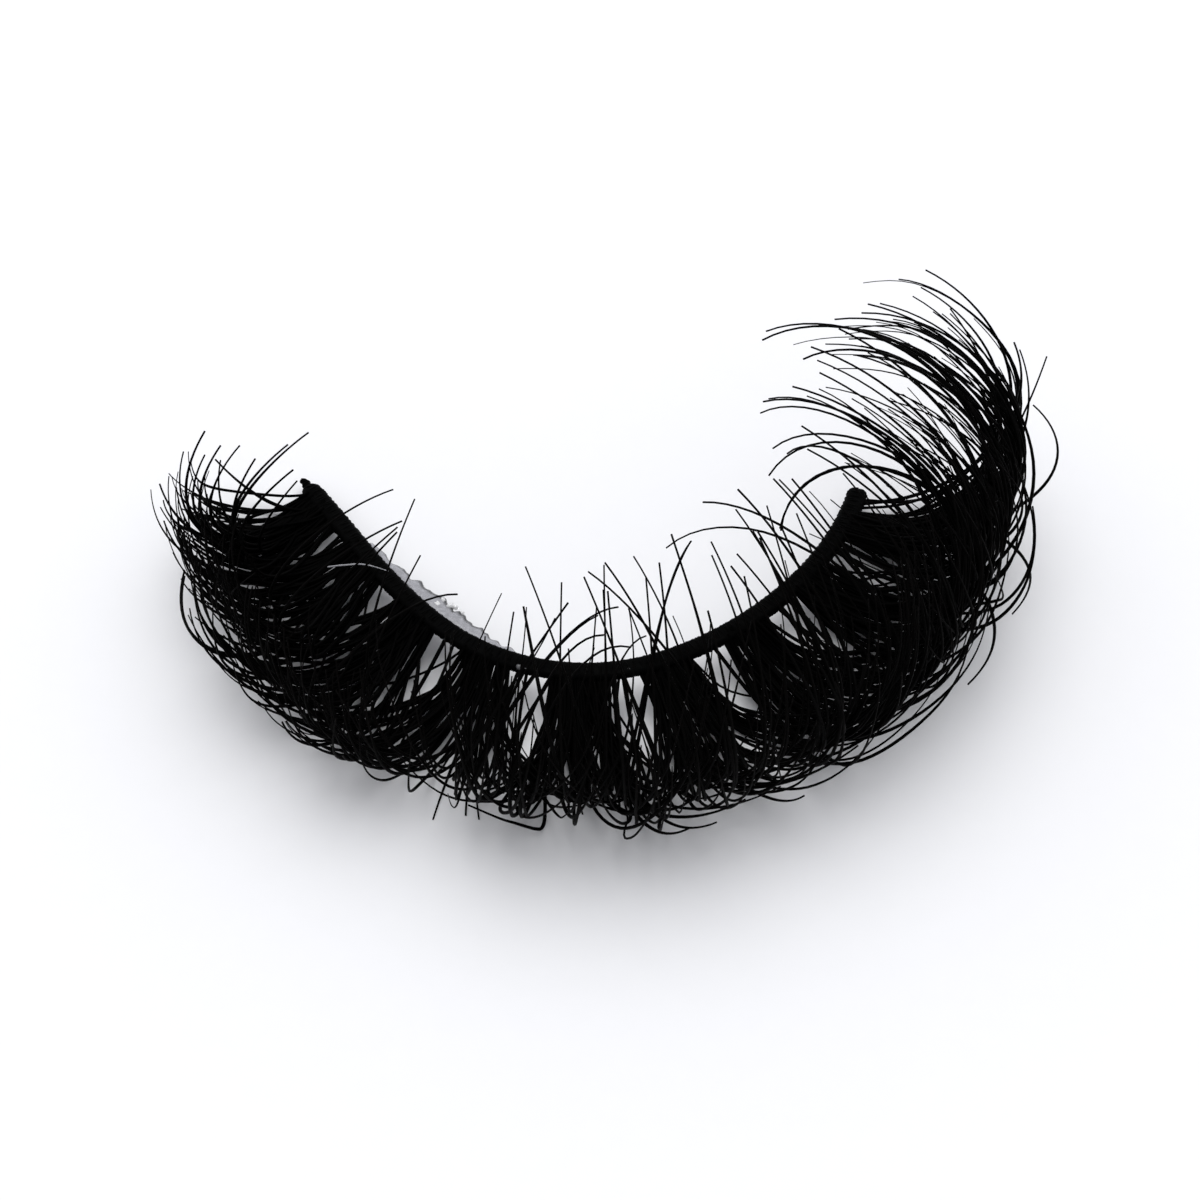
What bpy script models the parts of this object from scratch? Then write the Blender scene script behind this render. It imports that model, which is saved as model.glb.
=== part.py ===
"""False eyelash strip: a thread band, nine crossing hair tufts and a clear glue film.

The strip lies on the XY plane as it rests on a table. The lid side of the band
faces +Y, the hair fans out towards -Y and curls up and back over the band.
"""

from collections import namedtuple
import math

import bpy
import numpy as np

MM = 0.001

# Thread band
BAND_LENGTH = 31.4 * MM
BAND_WIDTH = 0.90 * MM
BAND_THICKNESS = 0.50 * MM
BAND_CORNER = 0.10 * MM
BAND_END_LIFT = 0.45 * MM
BAND_ARCH = 1.10 * MM
BAND_LEVEL_SHARE = 0.16
BAND_STEPS = 32

# Hair tufts
TUFT_COUNT = 9
TUFT_SPACING_SHARE = 1.0 / TUFT_COUNT
TUFT_FIRST_SHARE = 0.047
TUFT_ROOT_SHARE = 0.44
TUFT_FAN_DEG = 28.0
TUFT_FAN_START = 1.40 * MM
TUFT_FAN_EASE = 1.20 * MM
TUFT_TIP_SPREAD = 0.80
TUFT_HEAD_DEPTH = 0.55 * MM
LOCKS_PER_TUFT = 7
LOCK_STEPS = 17
LOCK_ROOT_THICKNESS = 0.30 * MM
LOCK_BELLY_THICKNESS = 0.34 * MM
LOCK_TIP_THICKNESS = 0.10 * MM
LOCK_GAP_SHARE = 0.16
LOCK_TIP_WIDTH_SHARE = 0.12
LOCK_TAPER_START = 0.50
LAYER_SHIFT_ROOT = 0.10 * MM
LAYER_SHIFT_BELLY = 0.27 * MM
LAYER_SHIFT_RISE = 2.0 * MM
LONGEST_HAIR = 21.4 * MM
BELLY_RADIUS = 4.7 * MM
TIP_RADIUS = 7.2 * MM
BELLY_TURN_DEG = 85.0
LONGEST_STRAIGHT_ROOT = 0.90 * MM

# Clear glue film on the lid side of the band
FILM_WIDTH = 0.55 * MM
FILM_THICKNESS = 0.20 * MM
FILM_DROP = 0.08 * MM
FILM_STEPS = 14

# Clearance between separate pieces
PIECE_GAP = 0.10 * MM

SMOOTHING_SAMPLES = 401
SMOOTHING_WINDOW = 41

# Direction of the band in plan, measured from the X axis
BandRow = namedtuple("BandRow", "share heading_deg")
BAND_ROWS = (
    BandRow(0.00, -57.5),
    BandRow(0.15, -58.5),
    BandRow(0.30, -45.5),
    BandRow(0.40, -23.0),
    BandRow(0.50, -1.0),
    BandRow(0.60, 22.0),
    BandRow(0.70, 37.0),
    BandRow(0.85, 55.5),
    BandRow(1.00, 76.0),
)

# Section of the band near its two cut ends, as shares of its full width and thickness
EndRow = namedtuple("EndRow", "reach width thickness")
INNER_END_ROWS = (
    EndRow(-0.55 * MM, 0.30, 0.56),
    EndRow(-0.18 * MM, 0.44, 0.76),
    EndRow(0.05 * MM, 0.80, 0.96),
    EndRow(0.55 * MM, 1.00, 1.00),
)
OUTER_END_ROWS = (
    EndRow(0.55 * MM, 1.00, 1.00),
    EndRow(0.10 * MM, 0.92, 0.96),
    EndRow(0.00 * MM, 0.70, 0.80),
)

# Form of the hair along the band: downward slope at the root, then lengths and radii as
# shares of the named sizes above, then the sideways lean of the whole tuft and the sweep
# of its curl to the side
HairRow = namedtuple("HairRow", "share dip_deg length belly tip straight lean_deg sweep_deg")
HAIR_ROWS = (
    HairRow(0.00, 16.0, 0.42, 0.76, 0.64, 0.50, 4.0, 4.0),
    HairRow(0.10, 18.5, 0.52, 0.90, 0.75, 0.80, 3.0, -3.0),
    HairRow(0.30, 27.0, 0.74, 1.03, 0.87, 1.00, 3.0, -10.0),
    HairRow(0.42, 28.5, 0.83, 1.02, 0.94, 1.00, 4.0, -4.0),
    HairRow(0.50, 29.0, 0.89, 1.02, 1.00, 1.00, 5.0, 3.0),
    HairRow(0.62, 28.0, 0.92, 1.02, 0.99, 1.00, 6.0, 13.0),
    HairRow(0.75, 26.0, 0.96, 1.01, 0.96, 1.00, 8.0, 13.0),
    HairRow(0.90, 14.0, 0.98, 0.97, 0.91, 1.00, 9.0, 2.0),
    HairRow(1.00, 5.0, 0.97, 0.93, 0.86, 1.00, 8.0, 0.0),
)

# Length of each lock of a tuft, as a share of the hair length there
LOCK_LENGTH_SHARES = (0.86, 1.00, 0.90, 1.04, 0.93, 1.01, 0.84)

# Width of the glue film along the band, as a share of its greatest width
FilmRow = namedtuple("FilmRow", "share width")
FILM_ROWS = (
    FilmRow(0.135, 0.30),
    FilmRow(0.180, 0.62),
    FilmRow(0.225, 0.80),
    FilmRow(0.265, 1.00),
    FilmRow(0.310, 0.92),
    FilmRow(0.350, 0.66),
    FilmRow(0.400, 0.42),
    FilmRow(0.435, 0.28),
)

# Colours and finishes: base colour, roughness, transmission
MaterialRow = namedtuple("MaterialRow", "colour roughness transmission")
MATERIALS = {
    "band_black_thread": MaterialRow((0.010, 0.010, 0.011), 0.62, 0.0),
    "hair_black_fibre": MaterialRow((0.012, 0.011, 0.012), 0.42, 0.0),
    "film_clear_glue": MaterialRow((0.86, 0.87, 0.88), 0.18, 0.9),
}


def clear_scene():
    for item in list(bpy.data.objects):
        bpy.data.objects.remove(item, do_unlink=True)


def smoothed_column(rows, column):
    """Values of one table column on an even grid, with the corners between rows rounded."""
    grid = np.linspace(0.0, 1.0, SMOOTHING_SAMPLES)
    shares = [row.share for row in rows]
    values = np.interp(grid, shares, [getattr(row, column) for row in rows])
    half = SMOOTHING_WINDOW // 2
    before = 2.0 * values[0] - values[half:0:-1]
    after = 2.0 * values[-1] - values[-2:-half - 2:-1]
    window = np.hanning(SMOOTHING_WINDOW)
    window = window / window.sum()
    return np.convolve(np.concatenate([before, values, after]), window, "valid")


GRID = np.linspace(0.0, 1.0, SMOOTHING_SAMPLES)
HAIR_CURVES = {name: smoothed_column(HAIR_ROWS, name) for name in HairRow._fields[1:]}


def hair_value(name, share):
    return float(np.interp(share, GRID, HAIR_CURVES[name]))


def band_line():
    """Inner edge of the band at mid thickness, on an even grid of shares."""
    heading = np.radians(smoothed_column(BAND_ROWS, "heading_deg"))
    step = BAND_LENGTH / (SMOOTHING_SAMPLES - 1)
    middle = 0.5 * (heading[1:] + heading[:-1])
    along_x = np.concatenate([[0.0], np.cumsum(np.cos(middle) * step)])
    along_y = np.concatenate([[0.0], np.cumsum(np.sin(middle) * step)])
    off_middle = np.maximum(np.abs(2.0 * GRID - 1.0) - BAND_LEVEL_SHARE, 0.0)
    off_middle = off_middle / (1.0 - BAND_LEVEL_SHARE)
    height = BAND_END_LIFT + BAND_ARCH * (1.0 - off_middle ** 2)
    return np.stack([along_x, along_y, height], axis=1), heading


BAND_POINTS, BAND_HEADINGS = band_line()


def band_frame(share):
    """Point on the band's inner edge with the directions along, outward and upward there."""
    inside = min(max(share, 0.0), 1.0)
    point = np.array([np.interp(inside, GRID, BAND_POINTS[:, axis]) for axis in range(3)])
    heading = float(np.interp(inside, GRID, BAND_HEADINGS))
    along = np.array([math.cos(heading), math.sin(heading), 0.0])
    outward = np.array([math.sin(heading), -math.cos(heading), 0.0])
    upward = np.array([0.0, 0.0, 1.0])
    point = point + along * (share - inside) * BAND_LENGTH
    return point, along, outward, upward


def curl(along, straight, belly, tip):
    """Reach, rise and turning angle of a hair at a distance from its root."""
    turn = math.radians(BELLY_TURN_DEG)
    if along <= straight:
        return along, 0.0, 0.0
    arc = along - straight
    if arc <= belly * turn:
        angle = arc / belly
        return straight + belly * math.sin(angle), belly * (1.0 - math.cos(angle)), angle
    angle = turn + (arc - belly * turn) / tip
    reach = straight + belly * math.sin(turn) + tip * (math.sin(angle) - math.sin(turn))
    rise = belly * (1.0 - math.cos(turn)) + tip * (math.cos(turn) - math.cos(angle))
    return reach, rise, angle


def hair_reach(share, along):
    straight = hair_value("straight", share) * LONGEST_STRAIGHT_ROOT
    belly = hair_value("belly", share) * BELLY_RADIUS
    tip = hair_value("tip", share) * TIP_RADIUS
    return curl(along, straight, belly, tip)


def fan_reach(share, along, progress):
    """Reach that spreads the fan: it grows up to the belly and closes a little at the tip."""
    straight = hair_value("straight", share) * LONGEST_STRAIGHT_ROOT
    belly = hair_value("belly", share) * BELLY_RADIUS
    widest = straight + belly * math.radians(BELLY_TURN_DEG)
    closing = 1.0 - (1.0 - TUFT_TIP_SPREAD) * progress ** 2
    return hair_reach(share, min(along, widest))[0] * closing


def fan_width(reach):
    """Half the fan that opens past its start, where the locks stop running side by side."""
    past = reach - TUFT_FAN_START
    eased = 0.5 * (past + math.sqrt(past ** 2 + TUFT_FAN_EASE ** 2))
    at_root = 0.5 * (math.sqrt(TUFT_FAN_START ** 2 + TUFT_FAN_EASE ** 2) - TUFT_FAN_START)
    return max(eased - at_root, 0.0) * math.tan(math.radians(TUFT_FAN_DEG))


def hair_point(share, along, shift):
    """Point of the curled hair surface, moved by shift to the outer side of the curl."""
    inside = min(max(share, 0.0), 1.0)
    edge, sideways, outward, upward = band_frame(share)
    reach, rise, angle = hair_reach(inside, along)
    reach = reach + shift * math.sin(angle)
    rise = rise - shift * math.cos(angle)
    dip = math.radians(hair_value("dip_deg", inside))
    forward = math.cos(dip) * outward - math.sin(dip) * upward
    upright = math.cos(dip) * upward + math.sin(dip) * outward
    sweep = math.radians(hair_value("sweep_deg", inside))
    curl_way = math.cos(sweep) * upright + math.sin(sweep) * sideways
    root = edge + outward * (BAND_WIDTH + PIECE_GAP)
    return root + forward * reach + curl_way * rise


def make_object(name, points, faces, slot, smooth):
    mesh = bpy.data.meshes.new(name)
    mesh.from_pydata([tuple(point) for point in points], [], faces)
    mesh.update()
    mesh.materials.append(bpy.data.materials[slot])
    mesh.polygons.foreach_set("use_smooth", [smooth] * len(mesh.polygons))
    item = bpy.data.objects.new(name, mesh)
    bpy.context.collection.objects.link(item)
    return item


def skin_rings(rings, closed_ends=True):
    """Faces between successive rings of the same point count, with flat caps."""
    count = len(rings[0])
    points = [point for ring in rings for point in ring]
    faces = []
    for row in range(len(rings) - 1):
        for side in range(count):
            following = (side + 1) % count
            low = row * count
            high = low + count
            faces.append((low + side, high + side, high + following, low + following))
    if closed_ends:
        last = (len(rings) - 1) * count
        faces.append(tuple(range(count)))
        faces.append(tuple(last + side for side in range(count - 1, -1, -1)))
    return points, faces


def band_ring(share, width, thickness):
    """Section of the band: a rectangle with cut corners, inner edge first."""
    edge, _, outward, upward = band_frame(share)
    middle = edge + outward * 0.5 * BAND_WIDTH
    half_width = 0.5 * width
    half_height = 0.5 * thickness
    corner = min(BAND_CORNER, 0.4 * half_width, 0.4 * half_height)
    outline = (
        (-half_width, -half_height + corner),
        (-half_width + corner, -half_height),
        (half_width - corner, -half_height),
        (half_width, -half_height + corner),
        (half_width, half_height - corner),
        (half_width - corner, half_height),
        (-half_width + corner, half_height),
        (-half_width, half_height - corner),
    )
    return [middle + outward * across + upward * up for across, up in outline]


def build_band():
    rings = []
    for row in INNER_END_ROWS:
        ring = band_ring(row.reach / BAND_LENGTH, row.width * BAND_WIDTH, row.thickness * BAND_THICKNESS)
        rings.append(ring)
    first = INNER_END_ROWS[-1].reach / BAND_LENGTH
    last = 1.0 - OUTER_END_ROWS[0].reach / BAND_LENGTH
    for share in np.linspace(first, last, BAND_STEPS + 1)[1:-1]:
        rings.append(band_ring(float(share), BAND_WIDTH, BAND_THICKNESS))
    for row in OUTER_END_ROWS:
        share = 1.0 - row.reach / BAND_LENGTH
        rings.append(band_ring(share, row.width * BAND_WIDTH, row.thickness * BAND_THICKNESS))
    points, faces = skin_rings(rings)
    return make_object("lash_band", points, faces, "band_black_thread", False)


def build_film():
    """Thin strip of dried glue along the lid side of the band, thickest next to the band."""
    shares = [row.share for row in FILM_ROWS]
    widths = [row.width for row in FILM_ROWS]
    rings = []
    for share in np.linspace(shares[0], shares[-1], FILM_STEPS):
        width = FILM_WIDTH * float(np.interp(share, shares, widths))
        edge, _, outward, upward = band_frame(float(share))
        start = edge - outward * PIECE_GAP - upward * FILM_DROP
        half = 0.5 * FILM_THICKNESS
        outline = (
            (0.0, -half),
            (0.0, half),
            (0.55 * width, 0.70 * half),
            (width, 0.25 * half),
            (width, -0.55 * half),
            (0.50 * width, -half),
        )
        rings.append([start - outward * across + upward * up for across, up in outline])
    points, faces = skin_rings(rings)
    return make_object("glue_film", points, faces, "film_clear_glue", False)


def lock_thickness(progress):
    """Thickness of a lock at a share of its length."""
    stations = (0.0, 0.25, LOCK_TAPER_START, 1.0)
    sizes = (LOCK_ROOT_THICKNESS, LOCK_BELLY_THICKNESS, LOCK_BELLY_THICKNESS, LOCK_TIP_THICKNESS)
    return float(np.interp(progress, stations, sizes))


def lock_fill(progress):
    """Share of its own lane that a lock covers at a share of its length."""
    stations = (0.0, 0.16, LOCK_TAPER_START, 1.0)
    full = 1.0 - LOCK_GAP_SHARE
    fills = (1.0, full, full, LOCK_TIP_WIDTH_SHARE)
    return float(np.interp(progress, stations, fills))


def tuft_point(centre, across, along, side, progress, layer):
    """Point of a tuft: across runs from -1 to 1 over its fan, side is -1 inner and 1 outer."""
    reach = fan_reach(centre, along, progress)
    fan = 0.5 * TUFT_ROOT_SHARE * TUFT_SPACING_SHARE * BAND_LENGTH
    fan = fan + fan_width(reach)
    lean = reach * math.sin(math.radians(hair_value("lean_deg", centre)))
    share = centre + (across * fan + lean) / BAND_LENGTH
    spread = min(along / LAYER_SHIFT_RISE, 1.0)
    shift = layer * (LAYER_SHIFT_ROOT + (LAYER_SHIFT_BELLY - LAYER_SHIFT_ROOT) * spread)
    shift = shift + side * 0.5 * lock_thickness(progress)
    return hair_point(share, along, shift)


def build_tuft(number):
    """Comb of curled locks that start side by side from one head at the band."""
    centre = TUFT_FIRST_SHARE + number * TUFT_SPACING_SHARE
    layer = 1.0 if number % 2 == 0 else -1.0
    lane = 2.0 / LOCKS_PER_TUFT
    lines = [-1.0 + lane * step for step in range(LOCKS_PER_TUFT + 1)]
    points = []
    faces = []

    def add(across, along, side, progress):
        points.append(tuft_point(centre, across, along, side, progress, layer))
        return len(points) - 1

    back_low = [add(across, 0.0, 1.0, 0.0) for across in lines]
    back_high = [add(across, 0.0, -1.0, 0.0) for across in lines]
    front_low = [add(across, TUFT_HEAD_DEPTH, 1.0, 0.0) for across in lines]
    front_high = [add(across, TUFT_HEAD_DEPTH, -1.0, 0.0) for across in lines]
    for step in range(LOCKS_PER_TUFT):
        following = step + 1
        faces.append((back_low[step], back_low[following], front_low[following], front_low[step]))
        faces.append((back_high[step], front_high[step], front_high[following], back_high[following]))
        faces.append((back_low[step], back_high[step], back_high[following], back_low[following]))
    faces.append((back_low[0], front_low[0], front_high[0], back_high[0]))
    faces.append((back_low[-1], back_high[-1], front_high[-1], front_low[-1]))

    hair_length = hair_value("length", centre) * LONGEST_HAIR
    for lock in range(LOCKS_PER_TUFT):
        length = hair_length * LOCK_LENGTH_SHARES[(lock + number) % LOCKS_PER_TUFT]
        middle = 0.5 * (lines[lock] + lines[lock + 1])
        ring = (front_low[lock], front_low[lock + 1], front_high[lock + 1], front_high[lock])
        for step in range(1, LOCK_STEPS + 1):
            progress = step / LOCK_STEPS
            along = TUFT_HEAD_DEPTH + (length - TUFT_HEAD_DEPTH) * progress
            half = 0.5 * lane * lock_fill(progress)
            following = (
                add(middle - half, along, 1.0, progress),
                add(middle + half, along, 1.0, progress),
                add(middle + half, along, -1.0, progress),
                add(middle - half, along, -1.0, progress),
            )
            for corner in range(4):
                after = (corner + 1) % 4
                faces.append((ring[corner], ring[after], following[after], following[corner]))
            ring = following
        faces.append(ring)
    name = "hair_tuft_%d" % (number + 1)
    return make_object(name, points, faces, "hair_black_fibre", True)


def make_materials():
    for name, row in MATERIALS.items():
        material = bpy.data.materials.new(name)
        material.use_nodes = True
        shader = material.node_tree.nodes["Principled BSDF"]
        shader.inputs["Base Color"].default_value = (*row.colour, 1.0)
        shader.inputs["Roughness"].default_value = row.roughness
        shader.inputs["Transmission Weight"].default_value = row.transmission
        material.diffuse_color = (*row.colour, 1.0)


def settle(items):
    """Move all pieces together so that the strip stands centred on the origin."""
    corners = np.array([tuple(vertex.co) for item in items for vertex in item.data.vertices])
    low = corners.min(axis=0)
    high = corners.max(axis=0)
    offset = (0.5 * (low[0] + high[0]), 0.5 * (low[1] + high[1]), low[2])
    for item in items:
        for vertex in item.data.vertices:
            vertex.co.x -= offset[0]
            vertex.co.y -= offset[1]
            vertex.co.z -= offset[2]
        item.data.update()


def main():
    clear_scene()
    make_materials()
    items = [build_band(), build_film()]
    for number in range(TUFT_COUNT):
        items.append(build_tuft(number))
    settle(items)


main()
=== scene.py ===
"""False eyelash strip: curled black hair on a thread band, lying on a pale table."""

import math
from collections import namedtuple

import bpy
import numpy as np
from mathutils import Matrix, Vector


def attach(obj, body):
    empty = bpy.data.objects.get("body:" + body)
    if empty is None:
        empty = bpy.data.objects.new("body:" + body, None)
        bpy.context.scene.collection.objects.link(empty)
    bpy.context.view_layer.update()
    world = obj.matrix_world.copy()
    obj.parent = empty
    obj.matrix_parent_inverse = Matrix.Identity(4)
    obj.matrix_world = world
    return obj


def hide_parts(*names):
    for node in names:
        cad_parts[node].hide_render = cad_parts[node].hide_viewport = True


bl_info = {
    "name": "False Eyelash Strip",
    "version": (1, 0, 0),
    "blender": (4, 5, 0),
    "location": "3D View > Sidebar > Lash Strip",
    "description": "Builds a curled false eyelash strip around its solid frame",
    "category": "Add Mesh",
}

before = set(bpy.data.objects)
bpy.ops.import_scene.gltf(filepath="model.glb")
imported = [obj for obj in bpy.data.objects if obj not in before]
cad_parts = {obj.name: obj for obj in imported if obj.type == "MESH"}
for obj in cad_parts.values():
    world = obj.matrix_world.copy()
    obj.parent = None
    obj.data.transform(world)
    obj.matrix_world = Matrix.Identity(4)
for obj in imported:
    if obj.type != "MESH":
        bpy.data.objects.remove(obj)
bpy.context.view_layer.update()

MM = 0.001
BODY = "root"
BAND_NODE = "lash_band"
FILM_NODE = "glue_film"
TUFT_NODES = sorted(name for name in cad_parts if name.startswith("hair_tuft_"))

# The band's line starts at its inner corner. This moves it to the middle of the strip's box.
STRIP_CENTRE = Vector((11.960, -9.732, -0.162)) * MM

BAND_LENGTH = 31.4 * MM
BAND_WIDTH = 0.90 * MM
BAND_THICKNESS = 0.50 * MM
BAND_END_LIFT = 0.45 * MM
BAND_ARCH = 1.10 * MM
BAND_LEVEL_SHARE = 0.16
TUFT_FIRST_SHARE = 0.047
LONGEST_HAIR = 21.4 * MM
BELLY_RADIUS = 4.7 * MM
TIP_RADIUS = 7.2 * MM
BELLY_TURN = math.radians(85.0)
STRAIGHT_ROOT = 0.90 * MM
SMOOTHING_SAMPLES = 401
SMOOTHING_WINDOW = 41

# How a single hair runs: the fan sets in softly, the waver grows towards the tip, the table stops it
FAN_SMOOTHING = 1.2 * MM
WAVE_ANGLE = 5.6
WAVER = 0.9 * MM
WAVER_SCALE = 190.0
WAVER_POWER = 1.3
TABLE_HEIGHT = 0.03 * MM
TABLE_SMOOTHING = 0.3 * MM

# Section of the band's core and of the threads
CORNER_STEPS = 4
SECTION_STEPS = 28
LUMP_SCALE = 2600.0
THREAD_SIDES = 6
CORE_INSET = 0.08 * MM
THREAD_INSET = 0.09 * MM

# The two binding threads: name, turns along the band and the turn that they start at
WINDING_STEPS = 2400
WINDINGS = (("binding_thread_a", 118.0, 0.0), ("binding_thread_b", -71.0, 0.35))

# Nub at the band's start and taper of its end: distance in millimetres, share of the full section
NUB_LENGTH = 0.5 * MM
END_ZONE = 0.02
NUB_SIZE = ((0.0, 0.08, 0.30, 0.45, 0.62, 0.95), (0.20, 0.34, 0.42, 0.46, 0.86, 1.0))
END_SIZE = ((0.0, 0.06, 0.2), (0.72, 0.92, 1.0))

# Direction of the band in plan, measured from the X axis
BandRow = namedtuple("BandRow", "share heading_deg")
BAND_ROWS = (
    BandRow(0.00, -57.5),
    BandRow(0.15, -58.5),
    BandRow(0.30, -45.5),
    BandRow(0.40, -23.0),
    BandRow(0.50, -1.0),
    BandRow(0.60, 22.0),
    BandRow(0.70, 37.0),
    BandRow(0.85, 55.5),
    BandRow(1.00, 76.0),
)

# Form of the hair along the band: slope at the root, shares of the named sizes, sideways lean and sweep
HairRow = namedtuple("HairRow", "share dip_deg length belly tip straight lean_deg sweep_deg")
HAIR_ROWS = (
    HairRow(0.00, 16.0, 0.42, 0.76, 0.64, 0.50, 4.0, 4.0),
    HairRow(0.10, 18.5, 0.52, 0.90, 0.75, 0.80, 3.0, -3.0),
    HairRow(0.30, 27.0, 0.74, 1.03, 0.87, 1.00, 3.0, -10.0),
    HairRow(0.42, 28.5, 0.83, 1.02, 0.94, 1.00, 4.0, -4.0),
    HairRow(0.50, 29.0, 0.89, 1.02, 1.00, 1.00, 5.0, 3.0),
    HairRow(0.62, 28.0, 0.92, 1.02, 0.99, 1.00, 6.0, 13.0),
    HairRow(0.75, 26.0, 0.96, 1.01, 0.96, 1.00, 8.0, 13.0),
    HairRow(0.90, 14.0, 0.98, 0.97, 0.91, 1.00, 9.0, 2.0),
    HairRow(1.00, 5.0, 0.97, 0.93, 0.86, 1.00, 8.0, 0.0),
)

# How the tufts change along the band: places as shares of its length, and the values there
HAIR_COUNT = ((0.0, 0.08, 0.20, 0.50, 0.60, 0.80, 0.85, 0.93, 1.0),
              (1.25, 1.20, 1.05, 1.0269, 0.95, 0.80, 0.85, 1.16, 1.30))
KNOT_REACH = ((0.0, 0.10, 0.26, 0.42), (0.28, 0.32, 0.28, 0.215))
END_FAN = ((0.0, 0.12, 0.90, 1.0), (0.72, 1.0, 1.0, 0.85))
EARLY_SHARE = ((0.0, 0.10, 0.28, 0.42, 0.75, 1.0), (0.34, 0.48, 0.36, 0.14, 0.14, 0.26))
FREEDOM = ((0.0, 0.80, 0.92), (1.0, 1.0, 0.6))
TRIMMED_LENGTH = ((0.0, 0.10, 0.90, 0.97), (0.80, 0.98, 1.0, 0.93))
CURL_SIZE = ((0.0, 0.08, 0.20, 0.33, 0.41, 0.53, 0.62, 0.78, 0.90, 1.0),
             (0.89, 0.94, 1.0, 1.0, 0.91, 0.91, 1.0, 0.97, 0.95, 0.97))

# Locks of a tuft and the scatter of its hairs: spread about the rule, or a range from low to high
LOCKS = 15
LOCK_PLACE_SCATTER = 0.07
LOCK_LEAN_SCATTER = math.radians(5.0)
LOCK_DIP_SCATTER = math.radians(1.8)
LOCK_LENGTHS = (0.84, 1.02)
HAIR_PLACE_SCATTER = 0.06
HAIR_SHARES = (0.004, 0.996)
HAIR_LENGTHS = (0.66, 1.02)
HAIR_RADII = (0.70, 1.25)
CURL_SCATTER = 0.04
ROLL_SCATTER = math.radians(12.0)
SWEEP_GAIN = 1.35
FAN_SCATTER = math.radians(10.0)
FAN_START = 2.9 * MM
FAN_START_SCATTER = 0.5 * MM
EARLY_FAN = math.radians(38.0)
EARLY_STARTS = (0.2 * MM, 1.0 * MM)
ROOT_LEAN = 0.22
LEAN_SCATTER = math.radians(2.0)
DIP_SCATTER = math.radians(2.6)
TIP_SCATTER = 0.06
WING_TIP_TIGHTENING = 1.1 / 3.1
ROOT_INSETS = (0.35 * MM, 0.70 * MM)
ROOT_LIFTS = (-0.10 * MM, 0.22 * MM)
STRAIGHT_LENGTHS = (0.6, 1.4)
SWAY_SCATTER = 0.8 * MM
WAVE_SCATTER = 0.14 * MM
TUFT_SPREAD = 0.8
TUFT_TIP_SIZE = 0.38

# Hairs of the stray table keep more to their line than those of the tufts
STRAY_INSET = 0.5 * MM
STRAY_LIFT = 0.1 * MM
STRAY_SPREAD = 0.6
STRAY_RADII = (0.95, 1.35)
STRAY_TONES = (0.2, 1.0)
STRAY_WAVER = 0.15
STRAY_TIP_SIZE = 0.50

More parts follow.
